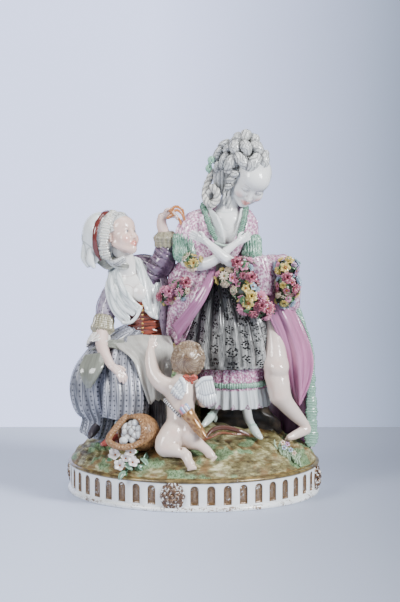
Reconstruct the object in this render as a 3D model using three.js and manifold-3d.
// A porcelain group: a standing lady with crossed arms, a seated lady who looks up at her,
// a kneeling cupid with a quiver and a second cupid half hidden under the train of the dress,
// on a rocky mound and an oval plinth with an arcade and four rosettes.
// It was pressed in many moulds, luted together and fired as one piece, so it is one solid.
// Millimetres, +Z up. The origin is the centre of the plinth's underside, +X runs along the
// plinth's long axis and the front faces -Y.
import * as THREE from "three";
import { mergeVertices } from "three/addons/utils/BufferGeometryUtils.js";
import Module from "manifold-3d";

const wasm = await Module();
wasm.setup();

// The plinth
const PLINTH_HALF_WIDTH = 112;
const PLINTH_HALF_DEPTH = 104;
const PLINTH_HEIGHT = 28;
const FOOT_HEIGHT = 4.5;
const FOOT_SPREAD = 2;
const ARCHES_PER_QUARTER = 10;
const ARCH_WIDTH = 6.4;
const ARCH_FOOT = 6;
const ARCH_HEIGHT = 16.5;
const ARCH_DEPTH = 1.3;
const ROSETTE_SHARE = 0.07; // of a quarter of the wall, from a rosette's middle to its first arch's bay
const ROSETTE_RADIUS = 11;
const ROSETTE_RELIEF = 3;

// The mound
const MOUND_RISE = 32;
const MOUND_INSET = 3;

// The figures stand on the plinth turned a little to the left.
const FIGURE_TURN = THREE.MathUtils.degToRad(10);

const CLOTH = 2.2; // thickness of a hanging sheet of porcelain cloth
const MELT = 1.4; // the glaze rounds off anything smaller

const cos = Math.cos;
const sin = Math.sin;
const TAU = 2 * Math.PI;
const vec = (x, y, z) => new THREE.Vector3(x, y, z);
const mix = THREE.MathUtils.lerp;

// A closed skin over rings of points that all have the same count, with a fan over each end.
function skin(rings) {
  const sides = rings[0].length;
  const points = rings.flat();
  const faces = [];
  const at = (ring, side) => ring * sides + (side % sides);
  for (let ring = 0; ring + 1 < rings.length; ring++) {
    for (let side = 0; side < sides; side++) {
      faces.push(at(ring, side), at(ring, side + 1), at(ring + 1, side + 1));
      faces.push(at(ring, side), at(ring + 1, side + 1), at(ring + 1, side));
    }
  }
  const middle = (ring) => ring.reduce((sum, p) => sum.add(p), vec(0, 0, 0)).divideScalar(sides);
  const last = rings.length - 1;
  const low = points.push(middle(rings[0])) - 1;
  const high = points.push(middle(rings[last])) - 1;
  for (let side = 0; side < sides; side++) {
    faces.push(low, at(0, side + 1), at(0, side));
    faces.push(high, at(last, side), at(last, side + 1));
  }
  const geometry = new THREE.BufferGeometry().setFromPoints(points);
  geometry.setIndex(faces);
  return geometry;
}

// A ring of points at a height, an ellipse with folds: waves of a given depth round the edge.
function ring(x, y, z, halfWidth, halfDepth, sides, folds = 0, depth = 0, phase = 0) {
  return Array.from({ length: sides }, (_, i) => {
    const angle = (i * TAU) / sides;
    const swell = 1 + depth * cos(folds * angle + phase);
    return vec(x + halfWidth * swell * cos(angle), y + halfDepth * swell * sin(angle), z);
  });
}

// A body or skirt of level sections [x, y, z, half width, half depth, fold depth], lowest first.
function column(sections, sides, folds = 0, phase = 0) {
  return skin(sections.map(([x, y, z, w, d, deep = 0]) => ring(x, y, z, w, d, sides, folds, deep, phase)));
}

// A round limb through [x, y, z, radius], drawn through a smooth curve.
function limb(stations, sides = 6, steps = stations.length) {
  const curve = new THREE.CatmullRomCurve3(stations.map(([x, y, z]) => vec(x, y, z)), false, "centripetal");
  const frames = curve.computeFrenetFrames(steps - 1, false);
  const rings = Array.from({ length: steps }, (_, i) => {
    const t = i / (steps - 1);
    const place = t * (stations.length - 1);
    const from = Math.min(Math.floor(place), stations.length - 2);
    const radius = mix(stations[from][3], stations[from + 1][3], place - from);
    const centre = curve.getPoint(t);
    const normal = frames.normals[i];
    const side = frames.binormals[i];
    return Array.from({ length: sides }, (_, k) => {
      const angle = (k * TAU) / sides;
      return centre
        .clone()
        .addScaledVector(normal, radius * cos(angle))
        .addScaledVector(side, radius * sin(angle));
    });
  });
  return skin(rings);
}

// An egg-shaped lump, turned by degrees about X, Y and Z.
function lump([x, y, z], [a, b, c], [tiltX, tiltY, tiltZ] = [0, 0, 0], around = 7, high = 5) {
  const degrees = THREE.MathUtils.degToRad;
  const flatsOut = (1 + 1 / cos(Math.PI / around)) / 2; // so that the flat faces lie about the true form
  return new THREE.SphereGeometry(flatsOut, around, high)
    .rotateX(Math.PI / 2)
    .scale(a, b, c)
    .rotateX(degrees(tiltX))
    .rotateY(degrees(tiltY))
    .rotateZ(degrees(tiltZ))
    .translate(x, y, z);
}

// A sheet of cloth of even thickness over a surface place(s, t), with s and t from 0 to 1.
function sheet(place, across, along, thickness = CLOTH) {
  const step = 1e-3;
  const offset = (s, t, side) => {
    const here = place(s, t);
    const ds = place(s + step, t).sub(place(s - step, t));
    const dt = place(s, t + step).sub(place(s, t - step));
    return here.addScaledVector(ds.cross(dt).normalize(), (side * thickness) / 2);
  };
  const rings = Array.from({ length: along + 1 }, (_, row) => {
    const t = row / along;
    const front = Array.from({ length: across + 1 }, (_, i) => offset(i / across, t, 1));
    const back = Array.from({ length: across + 1 }, (_, i) => offset(1 - i / across, t, -1));
    return [...front, ...back];
  });
  return skin(rings);
}

// A small open flower: a star of petals round a raised heart, which looks along a direction.
function blossom([x, y, z], radius, [nx, ny, nz], petals = 5) {
  const points = 2 * petals;
  const rim = (height, share) =>
    Array.from({ length: points }, (_, i) => {
      const reach = radius * share * (i % 2 ? 0.72 : 1);
      const angle = (i * TAU) / points;
      return vec(reach * cos(angle), reach * sin(angle), height);
    });
  const turn = new THREE.Quaternion().setFromUnitVectors(vec(0, 0, 1), vec(nx, ny, nz).normalize());
  const star = skin([rim(0, 1)]);
  const [low, high] = [points, points + 1];
  star.attributes.position.setZ(low, -radius * 0.8);
  star.attributes.position.setZ(high, radius * 0.45);
  return star.applyQuaternion(turn).translate(x, y, z);
}

// PLINTH

// A point on the plinth's wall a share of the way round, by length of wall, from the +X rosette.
const WALL = new THREE.EllipseCurve(0, 0, PLINTH_HALF_WIDTH, PLINTH_HALF_DEPTH, 0, TAU);
WALL.arcLengthDivisions = 720;

function wallFrame(share) {
  const place = WALL.getPointAt(((share % 1) + 1) % 1);
  const outward = Math.atan2(place.y / PLINTH_HALF_DEPTH ** 2, place.x / PLINTH_HALF_WIDTH ** 2);
  return { x: place.x, y: place.y, outward };
}

// Where the flat bays of the wall meet, as shares of the way round: two plain ones carry each
// rosette, and the arcade's lie between.
function bays() {
  const ends = [];
  for (let quarter = 0; quarter < 4; quarter++) {
    ends.push({ share: quarter / 4, arched: false });
    for (let i = 0; i <= ARCHES_PER_QUARTER; i++) {
      const along = mix(ROSETTE_SHARE, 1 - ROSETTE_SHARE, i / ARCHES_PER_QUARTER);
      ends.push({ share: (quarter + along) / 4, arched: i < ARCHES_PER_QUARTER });
    }
  }
  return ends;
}

// A round-headed arch, from its lower left corner.
function archOutline() {
  const half = ARCH_WIDTH / 2;
  const head = [0.08, 0.5, 0.92].map((turn) => turn * Math.PI);
  return [
    [-half, 0],
    [half, 0],
    ...head.map((angle) => [half * cos(angle), ARCH_HEIGHT - half + half * sin(angle)]),
  ].map(([x, y]) => new THREE.Vector2(x, y + ARCH_FOOT));
}

// One bay of the arcade between two posts of the wall, with its recess, as corners of triangles.
function archedBay(left, right, low, high) {
  const along = right.clone().sub(left);
  const half = along.length() / 2;
  along.normalize();
  const middle = left.clone().addScaledVector(along, half).setZ(0);
  const inward = vec(-along.y, along.x, 0);
  const place = (p, deep) => middle.clone().addScaledVector(along, p.x).addScaledVector(inward, deep).setZ(p.y);
  const edge = [[-half, low], [half, low], [half, high], [-half, high]].map(([x, y]) => new THREE.Vector2(x, y));
  const arch = archOutline();
  const flat = [...edge, ...arch];
  const corners = [];
  for (const face of THREE.ShapeUtils.triangulateShape(edge, [arch])) {
    corners.push(...face.map((k) => place(flat[k], 0)));
  }
  for (const face of THREE.ShapeUtils.triangulateShape(arch, [])) {
    corners.push(...face.map((k) => place(arch[k], ARCH_DEPTH)));
  }
  arch.forEach((p, k) => {
    const next = arch[(k + 1) % arch.length];
    const [a, b, c, d] = [place(p, 0), place(next, 0), place(next, ARCH_DEPTH), place(p, ARCH_DEPTH)];
    corners.push(a, b, c, a, c, d);
  });
  return corners;
}

function plinthBody() {
  const ends = bays();
  const wall = [FOOT_HEIGHT, PLINTH_HEIGHT - 3];
  const profile = [
    [0, FOOT_SPREAD],
    [FOOT_HEIGHT * 0.6, FOOT_SPREAD],
    [wall[0], 0],
    [wall[1], 0],
    [PLINTH_HEIGHT - 1.5, 1.2],
  ];
  const rings = profile.map(([z, out]) =>
    ends.map(({ share }) => {
      const { x, y, outward } = wallFrame(share);
      return vec(x + out * cos(outward), y + out * sin(outward), z);
    }),
  );
  const corners = [];
  ends.forEach(({ arched }, k) => {
    const next = (k + 1) % ends.length;
    corners.push(vec(0, 0, 0), rings[0][next], rings[0][k]);
    corners.push(vec(0, 0, PLINTH_HEIGHT), rings.at(-1)[k], rings.at(-1)[next]);
    for (let level = 0; level + 1 < rings.length; level++) {
      const [a, b, c, d] = [rings[level][k], rings[level][next], rings[level + 1][next], rings[level + 1][k]];
      if (arched && a.z === wall[0]) corners.push(...archedBay(a, b, ...wall));
      else corners.push(a, b, c, a, c, d);
    }
  });
  return new THREE.BufferGeometry().setFromPoints(corners);
}

function rosette(share) {
  const { x, y, outward } = wallFrame(share);
  const petals = 7;
  const rim = (height, reach) =>
    Array.from({ length: 2 * petals }, (_, i) => {
      const r = ROSETTE_RADIUS * reach * (i % 2 ? 0.84 : 1);
      const angle = (i * Math.PI) / petals;
      return vec(r * cos(angle), r * sin(angle), height);
    });
  return skin([rim(-3, 1), rim(ROSETTE_RELIEF * 0.6, 0.96), rim(ROSETTE_RELIEF, 0.4)])
    .rotateY(Math.PI / 2)
    .rotateZ(outward)
    .translate(x, y, PLINTH_HEIGHT / 2);
}

// MOUND

// The height of the ground at a place in the figures' own frame: a dome with worn rock ledges.
function groundHeight(x, y) {
  const out = Math.hypot(x / PLINTH_HALF_WIDTH, y / PLINTH_HALF_DEPTH);
  const dome = Math.max(0, 1 - out * out) ** 0.6;
  const ledges = 1.6 * sin(x * 0.11 + 1) * cos(y * 0.13) + 1.1 * sin(y * 0.2 + x * 0.07);
  return PLINTH_HEIGHT + MOUND_RISE * dome + ledges * Math.min(1, 4 * dome);
}

function mound() {
  const sides = 28;
  const steps = [1, 0.92, 0.76, 0.5];
  const rings = steps.map((share, step) =>
    Array.from({ length: sides }, (_, i) => {
      const angle = (i * TAU) / sides;
      const x = (PLINTH_HALF_WIDTH - MOUND_INSET) * share * cos(angle);
      const y = (PLINTH_HALF_DEPTH - MOUND_INSET) * share * sin(angle);
      return vec(x, y, step ? groundHeight(x, y) : PLINTH_HEIGHT + 1);
    }),
  );
  const buried = rings[0].map((p) => vec(p.x, p.y, PLINTH_HEIGHT - 4));
  return skin([buried, ...rings]);
}

// STANDING LADY

const SKIRT_FOLDS = 13;

function standingSkirt() {
  const outside = column(
    [
      [36, 4, 77, 33, 31, 0.05],
      [35, 4, 108, 30, 28, 0.03],
      [35, 4, 117, 35, 32, 0.04],
      [29, 4, 160, 27, 25, 0.05],
      [23, 4, 197, 14, 13, 0.03],
      [22, 4, 208, 11, 9.5],
    ],
    2 * SKIRT_FOLDS,
    SKIRT_FOLDS,
  );
  const hollow = column(
    [
      [37, 4, 70, 30, 27],
      [37, 4, 90, 27, 24],
      [36, 4, 106, 12, 10],
    ],
    18,
  );
  return { outside, hollow };
}

// The rock that carries the lady under her skirt, and the one the other lady sits on.
const rocks = () => [
  column(
    [
      [36, 12, 50, 23, 17],
      [36, 12, 72, 17, 12],
      [36, 11, 110, 14, 11],
    ],
    10,
  ),
  column(
    [
      [-34, 12, 46, 46, 34],
      [-34, 10, 90, 38, 28],
      [-30, 8, 134, 26, 18],
    ],
    10,
    5,
  ),
];

function standingBody() {
  return [
    column(
      [
        [22, 4, 200, 11.5, 9.5],
        [22, 4, 208, 11, 9.5],
        [26, 2, 222, 15, 12],
        [30, 1, 236, 18, 14],
        [32, 3, 247, 21, 12],
        [34, 4, 254, 12, 9],
        [36, 3, 259, 7.5, 7.5],
        [39, 1, 270, 7, 7.5],
      ],
      12,
    ),
    limb([[8, 3, 248, 8], [-2, -1, 238, 12.5], [-7, -5, 222, 14.5], [-7, -9, 208, 13.5]], 8),
    limb([[52, 3, 248, 7], [58, 0, 238, 10], [60, -4, 224, 10.5], [58, -9, 211, 10]], 7),
    limb([[-7, -10, 212, 6], [-2, -18, 204, 6], [20, -25, 213, 4.6], [42, -25, 227, 3.6], [52, -20, 234, 3.4]]),
    limb([[57, -10, 212, 6], [47, -20, 206, 6], [26, -31, 218, 4.6], [8, -27, 232, 3.6], [1, -22, 238, 3.4]]),
  ];
}

// The bowed head.
const HEAD = [51, -2, 279];

// The high powdered hair: rows of rolled curls, one above the other, that draw in to the top.
function coiffure() {
  const around = 9;
  const rows = [
    { z: 9, width: 23, depth: 18 },
    { z: 21, width: 25, depth: 20 },
    { z: 33, width: 17, depth: 14 },
  ];
  const rings = [ring(0, 0, -6, 15, 13, 2 * around)];
  rows.forEach(({ z, width, depth }, row) => {
    const middle = -0.16 * z;
    rings.push(ring(middle, 0, z, width, depth, 2 * around, around, 0.1, row * Math.PI));
    rings.push(ring(middle, 0, z + 6, width * 0.86, depth * 0.86, 2 * around));
  });
  rings.push(ring(-6, 0, 43, 7, 6, 2 * around));
  return skin(rings).rotateY(0.1).translate(HEAD[0] - 5, HEAD[1] + 5, HEAD[2] + 2);
}

function standingHead() {
  const [x, y, z] = HEAD;
  return [
    lump([x, y, z], [19, 17, 20.5], [0, -24, 0], 10, 7),
    lump([x - 5, y - 8, z - 9], [11, 11, 13], [0, 24, 0]),
    coiffure(),
    limb([[28, 8, 296, 5], [19, 4, 284, 5.2], [16, 0, 268, 5], [18, -4, 256, 6.2]]),
    limb([[36, -8, 280, 3.6], [32, -10, 270, 3.4], [32, -6, 258, 3]], 5),
    lump([17, 7, 298], [6, 6, 9], [0, 10, 0], 6, 4),
  ];
}

// The looped-up overdress: a puffed fold at each hip, its edge turned back to show the lining.
function overdress() {
  const leftFall = (s, t) => {
    const fold = 2.4 * sin(3 * TAU * s) * t;
    const top = vec(mix(-14, 17, s), mix(6, -11, s), mix(203, 204, s));
    const hem = vec(mix(-31, 13, s), mix(10, -28, s), mix(134, 190, s));
    const out = vec(-10 * (1 - s), -9, 4).multiplyScalar(sin(Math.PI * t) * 0.9);
    return top.lerp(hem, t).add(out).add(vec(-fold, -fold, 0));
  };
  return [
    lump([-8, 0, 192], [15, 14, 18], [0, 14, 0], 8, 6),
    lump([59, -6, 194], [15, 14, 22], [0, -8, 0], 8, 6),
    lump([24, 16, 192], [28, 16, 18], [0, 0, 0], 8, 5),
    sheet(leftFall, 6, 3, 3),
  ];
}

// The train: it sweeps from the back of the waist over the second cupid to the ground.
function trainSurface(s, t) {
  const drop = THREE.MathUtils.clamp(t, 0, 1);
  const fold = (1 + 2.2 * t) * sin(5.5 * TAU * s + 0.6);
  const angle = mix(2.6, -0.25, s);
  const spread = sin((Math.PI / 2) * Math.min(1, drop / 0.6));
  const reach = mix(mix(20, 56, drop ** 0.75), mix(36, 63, spread), s);
  const x = 42 + (reach + fold) * cos(angle);
  const y = 14 + (mix(20, 46, drop ** 0.8) + fold) * sin(angle);
  return vec(x, y, mix(206, groundHeight(x, y) - 3, t));
}

// HIDING CUPID: only a leg comes out from under the train; the body fills it from inside.
function hidingCupid() {
  return [
    limb([[62, 14, 150, 15], [71, 4, 136, 13], [69, -13, 115, 12.5], [73, -18, 101, 11.5]], 7),
    limb([[73, -18, 103, 11.5], [80, -17, 89, 10], [88, -13, 75, 8], [97, -8, 63, 5.2], [102, -5, 57, 4.6]], 7),
    limb([[103, -4, 56, 5], [95, -12, 53, 4.6], [86, -19, 51, 3.8]]),
    lump([68, 28, 104], [18, 17, 66], [0, 0, 0], 7, 6),
  ];
}

// SEATED LADY

function seatedSkirt() {
  return column(
    [
      [-68, -22, 50, 27, 34, 0.06],
      [-72, -24, 70, 34, 38, 0.05],
      [-73, -23, 104, 36, 37, 0.035],
      [-71, -20, 121, 31, 32, 0.02],
      [-63, -12, 132, 25, 25],
      [-54, -3, 139, 18, 17],
    ],
    24,
    12,
  );
}

function seatedBody() {
  return [
    column(
      [
        [-47, 0, 132, 18, 15],
        [-47, 0, 140, 16.5, 13],
        [-50, -1, 160, 17, 13],
        [-56, -3, 176, 20, 16],
        [-60, -2, 190, 22, 13],
        [-62, 0, 198, 14, 10],
        [-63, -1, 204, 7.5, 7.5],
        [-65, -2, 216, 7, 7.5],
      ],
      12,
    ),
    limb([[-77, 0, 189, 10], [-86, -3, 174, 10.5], [-91, -7, 156, 10], [-89, -14, 143, 9]]),
    limb([[-89, -13, 146, 7], [-85, -22, 137, 6.5], [-76, -34, 125, 4.6], [-68, -44, 117, 3.8]]),
    lump([-64, -50, 113], [8, 6, 4], [20, 25, -35], 7, 5),
    limb([[-45, 1, 192, 9], [-34, 0, 190, 11], [-25, -2, 196, 11.5], [-24, 0, 212, 9]], 8),
    limb([[-27, -1, 206, 10], [-27, 0, 216, 10.5], [-26, 1, 228, 9]], 7),
    limb([[-26, 0, 224, 5], [-27, 0, 238, 4.2], [-22, -1, 250, 5.5], [-12, -3, 252, 3.6], [-5, -4, 246, 3]]),
    limb([[-36, 2, 190, 9], [-35, 4, 165, 8], [-36, 5, 138, 9]]),
  ];
}

function seatedHead() {
  return [
    lump([-69, -2, 231], [17.5, 16, 19.5], [0, 14, 0], 9, 6),
    lump([-60, -8, 223], [11, 10, 12], [0, 14, 0]),
    lump([-78, 2, 231], [15.5, 19, 20], [0, -14, 0], 9, 6),
    lump([-91, 4, 228], [11, 15, 18], [0, 12, 0]),
    lump([-92, 0, 212], [6, 8, 11], [0, 8, 0], 6, 4),
    lump([-77, 0, 209], [9, 10, 8]),
    lump([-67, -6, 208], [5, 5, 5], [0, 0, 0], 6, 4),
  ];
}

// The neckerchief over the bust, and the apron over the lap.
function seatedCloth() {
  const apron = (s, t) => {
    const fold = 1.6 * sin(4 * TAU * s) * t;
    const top = vec(mix(-62, -32, s), mix(-13, -11, s), mix(139, 141, s));
    const hem = vec(mix(-72, -27, s), mix(-52, -43, s), mix(119, 84, s));
    const lap = vec(0, -6 * s, 9 * (1 - t)).multiplyScalar(sin(Math.PI * t));
    return top.lerp(hem, t).add(lap).add(vec(0, -fold, fold));
  };
  const corner = (s, t) => {
    const hang = vec(mix(-98, -86, s), mix(-36, -46, s), mix(128, 96, t));
    return hang.add(vec(4 * t, -3 * sin(Math.PI * s), 3 * sin(Math.PI * s) * (1 - t)));
  };
  return [
    lump([-63, -12, 178], [10, 8, 15], [-10, 24, 0]),
    lump([-49, -12, 177], [8, 7, 17], [-10, 8, 0]),
    sheet(apron, 6, 3, 4),
    sheet(corner, 3, 2, 4),
  ];
}

// KNEELING CUPID, seen from behind, with his quiver and wings
function kneelingCupid() {
  return [
    lump([-14, -70, 65], [19.5, 16, 16], [0, 0, 0], 8, 6),
    limb([[-12, -68, 68, 15], [-11, -66, 82, 14.5], [-12, -62, 97, 15], [-8, -59, 108, 11], [-5, -57, 117, 7]], 8),
    limb([[-20, -76, 61, 14], [-26, -79, 56, 12], [-28, -81, 51, 9.5]], 7),
    limb([[-28, -82, 51, 9.5], [-16, -86, 49, 8], [-6, -90, 46, 5.4], [-4, -93, 41, 4.6], [-2, -96, 35, 3.4]]),
    limb([[-8, -70, 58, 10], [2, -75, 53, 7], [9, -77, 53, 5.4], [19, -83, 44, 3.6]]),
    lump([-4, -55, 127.5], [16.5, 15.5, 17.5], [0, 0, 0], 9, 7),
    limb([[-14, -60, 102, 9], [-25, -60, 101, 8], [-38, -56, 109, 6.4], [-41, -49, 124, 5.4], [-41, -44, 135, 4.6]]),
    sheet((s, t) => vec(mix(1, 20, s), -67 - 5 * sin(Math.PI * s), mix(112 - 3 * s, 86 - 4 * s, t)), 2, 1, 5),
    sheet((s, t) => vec(mix(-20, -8, s), mix(-72, -76, s), mix(112, 95, t)), 1, 1, 5),
    limb([[-9, -81, 93, 5], [-5, -83, 83, 5.8], [3, -84, 71, 4.6], [12, -85, 59, 3]], 7),
  ];
}

// BASKET with eggs, tipped on its side, and the flowers and bow on the ground
function basket() {
  const mouth = vec(-61, -82, 62);
  const back = vec(-36, -72, 63);
  const axis = back.clone().sub(mouth).normalize();
  const inside = (share) => mouth.clone().lerp(back, share);
  const wall = limb([[...mouth, 15.5], [...inside(0.5), 17.5], [...back, 14]], 10);
  const room = limb([[...mouth.clone().addScaledVector(axis, -2), 12.5], [...inside(0.6), 13]], 8);
  const eggs = [
    lump([-52, -79, 68], [7, 7, 8], [0, 0, 0], 6, 4),
    lump([-56, -82, 56], [7, 7, 7], [0, 0, 0], 6, 4),
    lump([-46, -75, 60], [10, 10, 11], [0, 0, 0], 6, 4),
  ];
  const handle = limb([[-66, -70, 56, 2.6], [-70, -84, 50, 2.8], [-60, -93, 47, 2.8], [-46, -88, 52, 2.6]], 5);
  return { wall, room, rest: [...eggs, handle] };
}

const GROUND_FLOWERS = [
  [-70, -80, 8],
  [-60, -88, 8],
  [-52, -90, 7],
];

function groundTrim() {
  const parts = GROUND_FLOWERS.map(([x, y, r]) =>
    blossom([x, y, groundHeight(x, y) + 3], r, [-0.1, -0.8, 0.6]),
  );
  parts.push(blossom([84, -50, groundHeight(84, -50) + 2], 9, [0.2, -0.7, 0.7], 6));
  parts.push(limb([[11, -70, 48, 2.6], [20, -62, 56, 2.8], [32, -58, 57, 2.8], [45, -54, 49, 2.6]], 5));
  parts.push(limb([[24, -14, 82, 5], [16, -30, 68, 5.2], [9, -40, 61, 4.6]]));
  parts.push(limb([[48, -10, 82, 5], [50, -26, 66, 5.4], [54, -38, 61, 4.8], [59, -45, 56, 3.6]]));
  parts.push(limb([[-78, -48, 74, 5], [-77, -56, 58, 5], [-83, -66, 49, 4.4], [-87, -71, 46, 3]], 5));
  return parts;
}

// GARLAND: clusters of modelled flowers, each [x, y, z, radius]
const BLOOMS = [
  [-24, -11, 176, 8],
  [-12, -18, 174, 8],
  [15, -28, 201, 9],
  [36, -27, 188, 10],
  [46, -27, 173, 10],
  [55, -24, 187, 9],
  [52, -22, 204, 9],
  [77, -16, 204, 9],
  [88, -14, 199, 9],
  [80, -19, 188, 10],
  [90, -12, 185, 9],
  [78, -17, 175, 9],
];

function garland() {
  const parts = BLOOMS.map(([x, y, z, r]) => blossom([x, y, z], r, [(x - 30) * 0.012, -1, 0.25], 4));
  parts.push(lump([82, -6, 190], [13, 12, 21]));
  parts.push(lump([46, -16, 184], [15, 12, 23], [0, 30, 0]));
  return parts;
}

// ASSEMBLY

function solid(geometry) {
  const bare = geometry.clone();
  bare.deleteAttribute("normal");
  bare.deleteAttribute("uv");
  const merged = mergeVertices(bare, 1e-4);
  return new wasm.Manifold(
    new wasm.Mesh({
      numProp: 3,
      vertProperties: new Float32Array(merged.attributes.position.array),
      triVerts: new Uint32Array(merged.index.array),
    }),
  );
}

const join = (geometries) => geometries.map(solid).reduce((sum, part) => sum.add(part));
const turned = (geometries) => geometries.map((geometry) => geometry.rotateZ(FIGURE_TURN));

function build() {
  const rosettes = [0, 0.25, 0.5, 0.75].map(rosette);
  const { outside, hollow } = standingSkirt();
  const skirt = join(turned([outside])).subtract(join(turned([hollow])));
  const { wall, room, rest } = basket();
  const creel = join(turned([wall])).subtract(join(turned([room])));
  const figures = join(
    turned([
      ...rocks(),
      ...standingBody(),
      ...standingHead(),
      ...overdress(),
      sheet(trainSurface, 14, 4, 3),
      ...hidingCupid(),
      seatedSkirt(),
      ...seatedBody(),
      ...seatedHead(),
      ...seatedCloth(),
      ...kneelingCupid(),
      ...rest,
      ...groundTrim(),
      ...garland(),
    ]),
  );
  const group = skirt.add(creel).add(figures).simplify(MELT);
  return filled(join([plinthBody(), ...rosettes]).add(join(turned([mound()]))).add(group));
}

// Where limbs and cloth press together they shut in small pockets, which are solid in the piece.
function filled(made) {
  const outer = made.decompose().filter((body) => body.volume() > 0);
  return outer.reduce((sum, body) => sum.add(body));
}

function meshOf(made) {
  const { numProp, vertProperties, triVerts, numVert } = made.getMesh();
  const places = new Float32Array(3 * numVert);
  for (let i = 0; i < numVert; i++) {
    places.set(vertProperties.subarray(i * numProp, i * numProp + 3), 3 * i);
  }
  const geometry = new THREE.BufferGeometry();
  geometry.setAttribute("position", new THREE.BufferAttribute(places, 3));
  geometry.setIndex(new THREE.BufferAttribute(new Uint32Array(triVerts), 1));
  return geometry;
}

const glaze = new THREE.MeshStandardMaterial({ color: 0xe9ece8, roughness: 0.18, metalness: 0 });
const figureGroup = new THREE.Mesh(meshOf(build()), glaze);
figureGroup.name = "figure_group";

const model = new THREE.Group();
model.add(figureGroup);
export default model;
